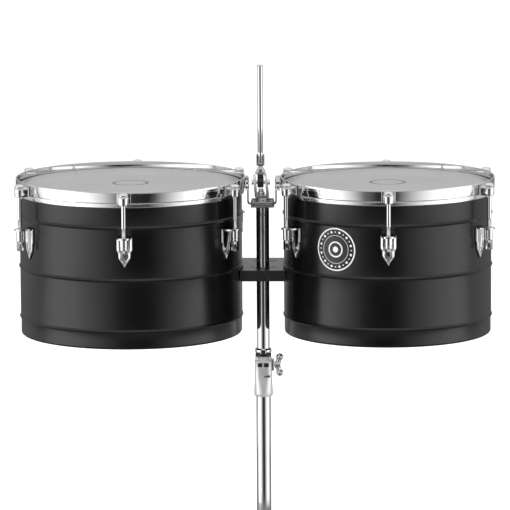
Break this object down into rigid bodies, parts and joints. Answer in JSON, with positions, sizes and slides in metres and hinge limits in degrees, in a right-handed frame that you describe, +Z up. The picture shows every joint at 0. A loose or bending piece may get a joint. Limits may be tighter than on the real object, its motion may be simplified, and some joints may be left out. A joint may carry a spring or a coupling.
{
  "type": "timbales",
  "caption": "Pair of steel-shelled timbales on a height-adjustable centre stand with folding tripod, rim bridge and tilting bell rod.",
  "frame": {"origin": "centre of the bounding box on the floor", "axes": "+Z up, front towards -Y, larger drum towards -X"},
  "size_m": [0.8196, 0.6164, 1.092],
  "materials": {
    "black_coat": "satin black powder coat on steel",
    "black_plate": "matt textured black powder coat on folded steel",
    "drum_film": "clear-coated white drum film",
    "aluminium_hoop": "bright drawn aluminium",
    "foot_rubber": "moulded black rubber",
    "black_block": "black coated casting",
    "stand_chrome": "bright chrome on pressed steel",
    "chrome": "bright chrome"
  },
  "bodies": {
    "base": {"lower_tube": "chrome", "height_clamp": "chrome", "lower_collar": "stand_chrome"},
    "drums": {"upper_tube": "chrome", "memory_lock": "chrome", "mount_plate": "black_plate", "holder_base": "chrome", "clamp_plate": "chrome", "rim_bridge": "chrome", "shell_left": "black_coat", "head_left": "drum_film", "flesh_hoop_left": "aluminium_hoop", "rim_left": "chrome", "lug_left_1": "chrome", "lug_left_2": "chrome", "lug_left_3": "chrome", "lug_left_4": "chrome", "lug_left_5": "chrome", "lug_left_6": "chrome", "shell_right": "black_coat", "head_right": "drum_film", "flesh_hoop_right": "aluminium_hoop", "rim_right": "chrome", "lug_right_1": "chrome", "lug_right_2": "chrome", "lug_right_3": "chrome", "lug_right_4": "chrome", "lug_right_5": "chrome", "lug_right_6": "chrome"},
    "height_bolt": {"height_wing_bolt": "chrome"},
    "rod_left_1": {"tension_rod_left_1": "chrome"},
    "rod_left_2": {"tension_rod_left_2": "chrome"},
    "rod_left_3": {"tension_rod_left_3": "chrome"},
    "rod_left_4": {"tension_rod_left_4": "chrome"},
    "rod_left_5": {"tension_rod_left_5": "chrome"},
    "rod_left_6": {"tension_rod_left_6": "chrome"},
    "rod_right_1": {"tension_rod_right_1": "chrome"},
    "rod_right_2": {"tension_rod_right_2": "chrome"},
    "rod_right_3": {"tension_rod_right_3": "chrome"},
    "rod_right_4": {"tension_rod_right_4": "chrome"},
    "rod_right_5": {"tension_rod_right_5": "chrome"},
    "rod_right_6": {"tension_rod_right_6": "chrome"},
    "yoke": {"holder_yoke": "chrome", "pivot_bolt": "chrome"},
    "tilter": {"tilt_block": "black_block", "rod_clamp": "chrome"},
    "rod": {"bell_rod": "chrome"},
    "rod_knob": {"rod_screw": "chrome"},
    "leg_slider": {"leg_collar": "stand_chrome"},
    "leg_lock": {"collar_screw": "chrome"},
    "leg_1_arm": {"leg_1": "stand_chrome", "foot_1": "foot_rubber"},
    "brace_1_arm": {"brace_1": "stand_chrome"},
    "leg_2_arm": {"leg_2": "stand_chrome", "foot_2": "foot_rubber"},
    "brace_2_arm": {"brace_2": "stand_chrome"},
    "leg_3_arm": {"leg_3": "stand_chrome", "foot_3": "foot_rubber"},
    "brace_3_arm": {"brace_3": "stand_chrome"}
  },
  "joints": [
    {"name": "height_slide", "type": "slide", "parent": "base", "child": "drums", "axis": [0, 0, 1], "range_m": [0, 0.15]},
    {"name": "height_bolt_turn", "type": "hinge", "parent": "base", "child": "height_bolt", "pos_m": [0.03275, -0.09661, 0.5735], "axis": [1, 0, 0], "continuous": true},
    {"name": "tuning_left_1", "type": "hinge", "parent": "drums", "child": "rod_left_1", "pos_m": [-0.21609, -0.29909, 0.84], "axis": [0, 0, 1], "continuous": true},
    {"name": "tuning_left_2", "type": "hinge", "parent": "drums", "child": "rod_left_2", "pos_m": [-0.03234, -0.19639, 0.84], "axis": [0, 0, 1], "continuous": true},
    {"name": "tuning_left_3", "type": "hinge", "parent": "drums", "child": "rod_left_3", "pos_m": [-0.0294, 0.01409, 0.84], "axis": [0, 0, 1], "continuous": true},
    {"name": "tuning_left_4", "type": "hinge", "parent": "drums", "child": "rod_left_4", "pos_m": [-0.21021, 0.12187, 0.84], "axis": [0, 0, 1], "continuous": true},
    {"name": "tuning_left_5", "type": "hinge", "parent": "drums", "child": "rod_left_5", "pos_m": [-0.39396, 0.01918, 0.84], "axis": [0, 0, 1], "continuous": true},
    {"name": "tuning_left_6", "type": "hinge", "parent": "drums", "child": "rod_left_6", "pos_m": [-0.3969, -0.1913, 0.84], "axis": [0, 0, 1], "continuous": true},
    {"name": "tuning_right_1", "type": "hinge", "parent": "drums", "child": "rod_right_1", "pos_m": [0.22635, -0.28641, 0.84], "axis": [0, 0, 1], "continuous": true},
    {"name": "tuning_right_2", "type": "hinge", "parent": "drums", "child": "rod_right_2", "pos_m": [0.39765, -0.18751, 0.84], "axis": [0, 0, 1], "continuous": true},
    {"name": "tuning_right_3", "type": "hinge", "parent": "drums", "child": "rod_right_3", "pos_m": [0.39765, 0.01029, 0.84], "axis": [0, 0, 1], "continuous": true},
    {"name": "tuning_right_4", "type": "hinge", "parent": "drums", "child": "rod_right_4", "pos_m": [0.22635, 0.10919, 0.84], "axis": [0, 0, 1], "continuous": true},
    {"name": "tuning_right_5", "type": "hinge", "parent": "drums", "child": "rod_right_5", "pos_m": [0.05505, 0.01029, 0.84], "axis": [0, 0, 1], "continuous": true},
    {"name": "tuning_right_6", "type": "hinge", "parent": "drums", "child": "rod_right_6", "pos_m": [0.05505, -0.18751, 0.84], "axis": [0, 0, 1], "continuous": true},
    {"name": "holder_swivel", "type": "hinge", "parent": "drums", "child": "yoke", "pos_m": [0.00975, -0.09461, 0.8652], "axis": [0, 0, 1], "range_deg": [-90, 90]},
    {"name": "holder_tilt", "type": "hinge", "parent": "yoke", "child": "tilter", "pos_m": [0.00945, -0.09461, 0.89], "axis": [1, 0, 0], "range_deg": [-40, 40]},
    {"name": "bell_rod_turn", "type": "hinge", "parent": "tilter", "child": "rod", "pos_m": [0.00945, -0.09461, 0.96], "axis": [0, 0, 1], "continuous": true},
    {"name": "rod_screw_turn", "type": "hinge", "parent": "tilter", "child": "rod_knob", "pos_m": [0.00945, -0.08261, 0.93], "axis": [0, 1, 0], "continuous": true},
    {"name": "collar_slide", "type": "slide", "parent": "base", "child": "leg_slider", "axis": [0, 0, 1], "range_m": [0, 0.1306]},
    {"name": "collar_screw_turn", "type": "hinge", "parent": "leg_slider", "child": "leg_lock", "pos_m": [0.01275, -0.12661, 0.25076], "axis": [0, 1, 0], "continuous": true},
    {"name": "leg_1_fold", "type": "hinge", "parent": "leg_slider", "child": "leg_1_arm", "pos_m": [0.03613, -0.11011, 0.25076], "axis": [0.5, 0.866, 0], "range_deg": [0, 50]},
    {"name": "brace_1_fold", "type": "hinge", "parent": "base", "child": "brace_1_arm", "pos_m": [0.03613, -0.11011, 0.083], "axis": [-0.5, -0.866, 0], "range_deg": [0, 50]},
    {"name": "leg_2_fold", "type": "hinge", "parent": "leg_slider", "child": "leg_2_arm", "pos_m": [0.01275, -0.06961, 0.25076], "axis": [-1, 0, 0], "range_deg": [0, 50]},
    {"name": "brace_2_fold", "type": "hinge", "parent": "base", "child": "brace_2_arm", "pos_m": [0.01275, -0.06961, 0.083], "axis": [1, 0, 0], "range_deg": [0, 50]},
    {"name": "leg_3_fold", "type": "hinge", "parent": "leg_slider", "child": "leg_3_arm", "pos_m": [-0.01063, -0.11011, 0.25076], "axis": [0.5, -0.866, 0], "range_deg": [0, 50]},
    {"name": "brace_3_fold", "type": "hinge", "parent": "base", "child": "brace_3_arm", "pos_m": [-0.01063, -0.11011, 0.083], "axis": [-0.5, 0.866, 0], "range_deg": [0, 50]}
  ],
  "couplings": [
    {"joint": "leg_1_fold", "follows": "collar_slide", "rad_per_m": 6.6819},
    {"joint": "brace_1_fold", "follows": "collar_slide", "rad_per_m": 6.6819},
    {"joint": "leg_2_fold", "follows": "collar_slide", "rad_per_m": 6.6819},
    {"joint": "brace_2_fold", "follows": "collar_slide", "rad_per_m": 6.6819},
    {"joint": "leg_3_fold", "follows": "collar_slide", "rad_per_m": 6.6819},
    {"joint": "brace_3_fold", "follows": "collar_slide", "rad_per_m": 6.6819}
  ]
}
